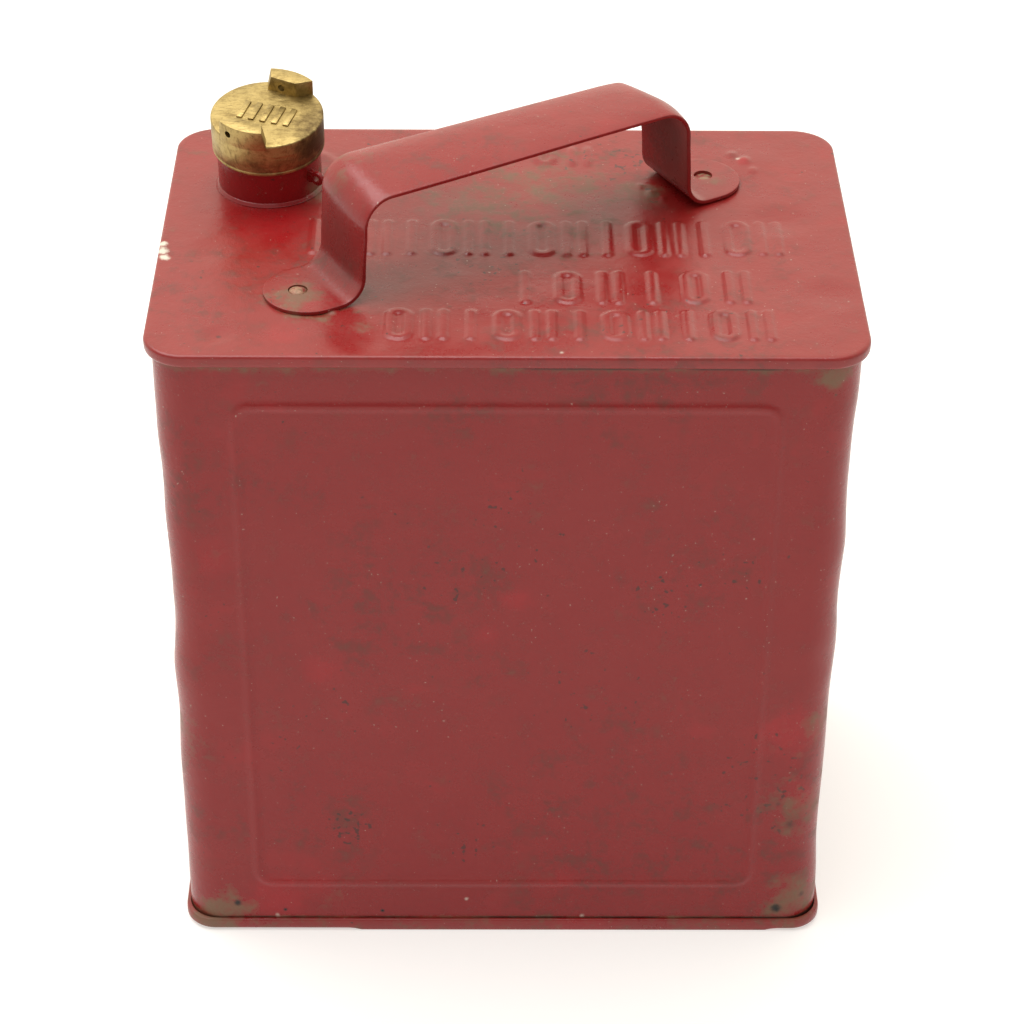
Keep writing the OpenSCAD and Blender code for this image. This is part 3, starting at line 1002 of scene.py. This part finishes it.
def enamel(name, fade, wornAndHighlight=(), dirt=(), pits=(), darkSpotsAndShade=(), chips=(), grime=0.0, extra=None, shine=0.5):
    # one piece's enamel; extra(tree, where) may give a further grime mask and one of dark lines
    mat, tree, shader = newMaterial(name)
    where = objectPlace(tree)
    shift = raggedShift(tree, where)
    dirtMask = spots(tree, where, shift, dirt) if dirt else grime
    if dirt and grime:
        dirtMask = larger(tree, dirtMask, grime)
    line = None
    if extra:
        more, line = extra(tree, where)
        dirtMask = larger(tree, dirtMask, more)
    made = useGroup(tree, enamelGroup, where, Fade=fade,
                    Worn=spots(tree, where, shift, wornAndHighlight) if wornAndHighlight else 0.0, Grime=dirtMask,
                    Pits=spots(tree, where, shift, pits) if pits else 0.1)
    colour = made["Colour"]
    if line is not None:
        colour = mixNode(tree, line, colour, enamelLook["crack"])
    # painted shade: the large faint black spots darken the top under the handle and the handle's legs; the small
    # strong ones are dark specks
    if darkSpotsAndShade:
        colour = mixNode(tree, spots(tree, where, shift, darkSpotsAndShade), colour, enamelLook["darkSpotsAndShade"])
    if chips:
        colour = mixNode(tree, spots(tree, where, shift, chips), colour, enamelLook["bare"])
    tree.links.new(colour, shader.inputs["Base Color"])
    tree.links.new(made["Roughness"], shader.inputs["Roughness"])
    shader.inputs["Specular IOR Level"].default_value = shine
    bumpTo(tree, shader, made["Height"], 0.35, 0.6 * mm)
    return mat


bodyMarks = {
    # the worn spots at (-70, 22) and (20, 23.5) on the lower border bead are painted highlight; the others are
    # rubbed wear
    "wornAndHighlight": [(-66, -79, 125, 9, 0.55, 0.5), (5, -79, 157, 7, 0.6, 0.5), (-7, -79, 141, 6, 0.5, 0.5),
             (-102, -79, 174, 10, 0.45, 0.5), (104, -79, 96, 15, 0.75, 0.6), (110, -76, 66, 10, 0.5, 0.6),
             (-84, -79, 15, 16, 0.8, 0.4), (-70, -79, 22, 8, 0.5, 0.5), (20, -79, 23.5, 9, 0.4, 0.4)],
    "dirt": [(-106, -78, 11, 13, 1.1, 0.5), (-62, -79, 17, 9, 0.6, 0.6), (110, -76, 14, 18, 0.85, 0.6),
             (112, -76, 60, 20, 0.6, 0.7), (114, -74, 96, 12, 0.55, 0.7), (110, -76, 250, 11, 1.0, 0.5),
             (-119, -60, 90, 24, 0.8, 0.6), (-119, -50, 40, 26, 0.8, 0.6), (119, 0, 20, 40, 0.7, 0.6),
             (0, 79, 14, 60, 0.7, 0.6), (-80, 79, 120, 30, 0.45, 0.7), (70, 79, 200, 26, 0.45, 0.7)],
    "pits": [(0, -79, 180, 30, 1.0, 0.6), (34, -79, 112, 30, 1.1, 0.6), (-57, -79, 52, 16, 1.3, 0.6),
             (-16, -79, 42, 20, 1.3, 0.6), (100, -79, 70, 34, 1.2, 0.6), (-27, -79, 172, 24, 0.9, 0.6),
             (-70, -79, 100, 30, 0.7, 0.6), (66, -79, 160, 34, 0.7, 0.6), (-60, 79, 70, 40, 1.0, 0.6),
             (60, 79, 120, 50, 0.8, 0.6)],
    "darkSpotsAndShade": [(-101, -79, 13, 2.0, 1, 0.35), (-83, -79, 9.5, 1.2, 1, 0.3), (104, -79, 10.5, 2.6, 1, 0.6),
              (113, -76, 16, 1.8, 1, 0.6), (-46, -79, 9, 1.0, 1, 0.3), (102, -79, 62, 1.5, 0.7, 0.5),
              (107, -78, 52, 2.2, 0.6, 0.6)],
    "chips": [(-14, -79, 15, 1.2, 0.6, 0.7), (30, -79, 6.6, 1.3, 0.5, 0.7), (-86, -79, 6.8, 1.3, 0.5, 0.7)],
}


def seamDirt(tree, where):
    # dirt packed under the top seam and over the bottom rim, with dark cracks beside it
    z = axisNode(tree, where, 2)
    under = stepNode(tree, z, 249 * mm, 255 * mm)
    over = stepNode(tree, z, 7.5 * mm, 5.5 * mm)
    broken = noiseNode(tree, where, 26, 3, 0.5)
    crack = times(tree, stepNode(tree, z, 252.3 * mm, 253.3 * mm), stepNode(tree, broken, 0.5, 0.56))
    low = times(tree, stepNode(tree, z, 6.6 * mm, 5.8 * mm), stepNode(tree, broken, 0.40, 0.52))
    both = larger(tree, times(tree, under, 0.75), times(tree, over, 0.8))
    return both, times(tree, larger(tree, crack, low), 0.85)


bodyEnamel = enamel("bodyEnamel", 0.3, extra=seamDirt, shine=0.38, **bodyMarks)
give(bodyEnamel, bodyPiece)

topMarks = {
    "wornAndHighlight": [(46, 16, 259, 9, 0.7, 0.5), (-80, 8, 259, 20, 0.45, 0.4), (88, 56, 259, 4, 0.8, 0.5),
             (-75, -68, 259, 10, 0.6, 0.5), (40, -4, 259, 12, 0.35, 0.6)],
    "dirt": [(16, 36, 259, 40, 0.62, 0.5), (-10, 22, 259, 34, 0.62, 0.5), (48, 34, 259, 14, 0.8, 0.5),
             (-66, -44, 259, 21, 0.8, 0.6), (-70, 29, 259, 8, 1.0, 0.5), (-62, 46, 259, 12, 0.45, 0.6),
             (-50, -62, 259, 9, 0.5, 0.6), (30, 4, 259, 22, 0.4, 0.6), (-110, 60, 259, 12, 0.3, 0.6)],
    "pits": [(-10, -20, 259, 40, 0.8, 0.6), (50, -50, 259, 40, 0.6, 0.6), (-60, -50, 259, 30, 0.9, 0.6),
             (30, 50, 259, 40, 0.9, 0.6)],
    # the two large faint black spots darken the panel under the handle as painted shadow; the small ones are dark
    # specks
    "darkSpotsAndShade": [(-22, 16, 259, 40, 0.30, 0.3), (30, 26, 259, 26, 0.18, 0.4), (-97, -68, 259, 1.6, 0.8, 0.6),
              (-60, -27, 259, 1.8, 0.7, 0.7), (52, 36, 259, 1.8, 0.8, 0.7)],
    "chips": [(-121.4, -6, 258.4, 2.0, 1, 1.1), (-121, -11, 258.6, 2.6, 1, 1.1), (-120, -16, 258.8, 2.0, 1, 1.1),
              (80, 31, 259.2, 1.3, 0.7, 0.6), (86, 58, 259.4, 1.5, 0.6, 0.7), (18, -78, 259, 1.0, 0.7, 0.6)],
}
topEnamel = enamel("topEnamel", 0.8, **topMarks)
give(topEnamel, topPiece)

rimMarks = {
    "wornAndHighlight": [(30, -80, 3, 18, 0.5, 0.5)],
    "dirt": [(-108, -80, 4, 20, 0.9, 0.5), (112, -76, 4, 16, 0.8, 0.5), (0, 80, 3, 90, 0.7, 0.6)],
}
rimEnamel = enamel("rimEnamel", 0.9, grime=0.35, **rimMarks)
give(rimEnamel, bottomPiece)

handleMarks = {
    "wornAndHighlight": [(-46, -32, 285, 12, 0.4, 0.5), (-66, -44, 262, 14, 0.45, 0.5)],
    "dirt": [(-72, -42, 260, 13, 1.0, 0.5), (-58, -18, 297, 14, 0.45, 0.6), (74, 42, 260, 8, 0.5, 0.5),
             (-52, -12, 268, 12, 0.4, 0.6)],
    "pits": [(-72, -42, 260, 20, 1.0, 0.5)],
    # the two large faint black spots darken the handle's legs as painted shade; the small one is a dark speck
    "darkSpotsAndShade": [(-60, -32, 262, 1.2, 0.6, 0.6), (-57, -32, 274, 24, 0.36, 0.2), (58, 32, 282, 22, 0.5, 0.2)],
    "chips": [(-10, -14, 301, 0.9, 0.8, 0.5), (10, 3, 301, 0.8, 0.7, 0.5)],
}
handleEnamel = enamel("handleEnamel", 0.6, **handleMarks)
give(handleEnamel, handlePiece)

neckMarks = {
    "wornAndHighlight": [(-86, 20, 264, 18, 0.35, 0.5)],
    "dirt": [(-70, 30, 262, 9, 0.95, 0.5), (-68, 28, 268, 6, 0.6, 0.5)],
}
neckEnamel = enamel("neckEnamel", 0.0, **neckMarks)
give(neckEnamel, neckPiece, eyePiece, neckSolder)


def brass(name, tarnishAndShade, shade=()):
    mat, tree, shader = newMaterial(name)
    where = objectPlace(tree)
    shift = raggedShift(tree, where)
    # the shade spots are painted shade, laid on in the tarnish tone
    dull = spots(tree, where, shift, shade) if shade else tarnishAndShade
    if shade:
        dull = larger(tree, dull, tarnishAndShade)
    made = useGroup(tree, brassGroup, where, Tarnish=dull)
    tree.links.new(made["Colour"], shader.inputs["Base Color"])
    tree.links.new(made["Roughness"], shader.inputs["Roughness"])
    shader.inputs["Metallic"].default_value = 1
    bumpTo(tree, shader, made["Height"], 0.35, 0.0004)
    return mat


# painted shade: these spots darken the right and front of the cap's skirt, where a dark reflection falls, in the
# tarnish tone
capShade = [(-64, 30, 281, 20, 1.0, 0.15), (-70, 18, 277, 14, 0.7, 0.2), (-86, 14, 275, 9, 0.35, 0.3)]
capBrass = brass("capBrass", 0.12, capShade)
give(capBrass, capPiece)
bushBrass = brass("bushBrass", 0.45)
give(bushBrass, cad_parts["threaded_bush"])


def tin(name):
    mat, tree, shader = newMaterial(name)
    where = objectPlace(tree)
    cloud = noiseNode(tree, where, 260, 6, 0.65)
    red = noiseNode(tree, where, 420, 4, 0.6)
    colour = mixNode(tree, stepNode(tree, cloud, 0.4, 0.62), (0.33, 0.17, 0.10), (0.20, 0.12, 0.065))
    colour = mixNode(tree, stepNode(tree, red, 0.48, 0.60), colour, (0.22, 0.02, 0.016))
    tree.links.new(colour, shader.inputs["Base Color"])
    tree.links.new(stepNode(tree, cloud, 0.3, 0.7, 0.4, 0.6), shader.inputs["Roughness"])
    shader.inputs["Metallic"].default_value = 0.15
    bumpTo(tree, shader, cloud, 0.4, 0.0008)
    return mat


give(tin("dirtySolder"), solderLeft, solderRight)


def leather(name):
    mat, tree, shader = newMaterial(name)
    where = objectPlace(tree)
    cell = tree.nodes.new("ShaderNodeTexVoronoi")
    cell.inputs["Scale"].default_value = 900
    tree.links.new(where, cell.inputs["Vector"])
    cloud = noiseNode(tree, where, 180, 5)
    colour = mixNode(tree, stepNode(tree, cloud, 0.35, 0.65), (0.10, 0.052, 0.024), (0.055, 0.028, 0.014))
    tree.links.new(colour, shader.inputs["Base Color"])
    tree.links.new(stepNode(tree, cloud, 0.3, 0.7, 0.5, 0.75), shader.inputs["Roughness"])
    bumpTo(tree, shader, cell.outputs["Distance"], 0.4, 0.0003)
    return mat


give(leather("oiledLeather"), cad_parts["cap_washer"])
print("finishes made")


# stage

stage = {
    "floor": (0.62, 0.61, 0.59, 1), "glow": (1, 0.99, 0.96, 1), "glowLight": 0.50,
    # the room's colour and light before and behind the can, and the band between them
    "front": (1, 0.97, 0.93), "back": (1, 0.95, 0.80), "frontLight": 0.55, "backLight": 1.5, "turn": (-0.6, 0.9),
    # the soft lamp, and the camera with its target, its roll in degrees and its lens
    "lampPlace": (-0.35, 0.1, 1.5), "lampTarget": (0, 0, 0.2), "lampSize": 1.3, "lampPower": 19,
    "camera": (-7.76, -910.73, 777.46), "target": (2.853, 0, 139.42), "roll": 0.545, "lens": 103.38,
}


def makeStage():
    clear()
    bpy.ops.mesh.primitive_plane_add(size=12, location=(0, 0, 0))
    floor = named("floor")
    mat, tree, shader = newMaterial("paleFloor")
    shader.inputs["Base Color"].default_value = stage["floor"]
    shader.inputs["Roughness"].default_value = 0.9
    shader.inputs["Emission Color"].default_value = stage["glow"]
    shader.inputs["Emission Strength"].default_value = stage["glowLight"]
    give(mat, floor)
    # a pale room, brighter and a little warmer behind the can
    world = bpy.data.worlds.new("softRoom")
    bpy.context.scene.world = world
    world.use_nodes = True
    tree = world.node_tree
    back = axisNode(tree, tree.nodes.new("ShaderNodeTexCoord").outputs["Generated"], 1)
    room = tree.nodes["Background"]
    low, high = stage["turn"]
    colour = mixNode(tree, stepNode(tree, back, low, high), stage["front"], stage["back"])
    light = stepNode(tree, back, low, high, stage["frontLight"], stage["backLight"])
    tree.links.new(colour, room.inputs["Color"])
    tree.links.new(light, room.inputs["Strength"])


def makeLamp():
    clear()
    bpy.ops.object.light_add(type="AREA", location=stage["lampPlace"])
    lamp = bpy.context.object
    lamp.name = "softTop"
    lamp.data.size = stage["lampSize"]
    lamp.data.energy = stage["lampPower"]
    towards = Vector(stage["lampTarget"]) - Vector(stage["lampPlace"])
    lamp.rotation_euler = towards.to_track_quat("-Z", "Y").to_euler()


def makeCamera():
    clear()
    bpy.ops.object.camera_add(location=Vector(stage["camera"]) * mm)
    camera = bpy.context.object
    camera.name = "camera"
    towards = Vector(stage["target"]) * mm - camera.location
    roll = Matrix.Rotation(math.radians(stage["roll"]), 4, "Z").to_quaternion()
    camera.rotation_euler = (towards.to_track_quat("-Z", "Y") @ roll).to_euler()
    camera.data.sensor_width = 36
    camera.data.lens = stage["lens"]
    camera.data.clip_start = 0.01
    bpy.context.scene.camera = camera


makeStage()
makeLamp()
makeCamera()
bpy.context.scene.view_settings.view_transform = "Standard"
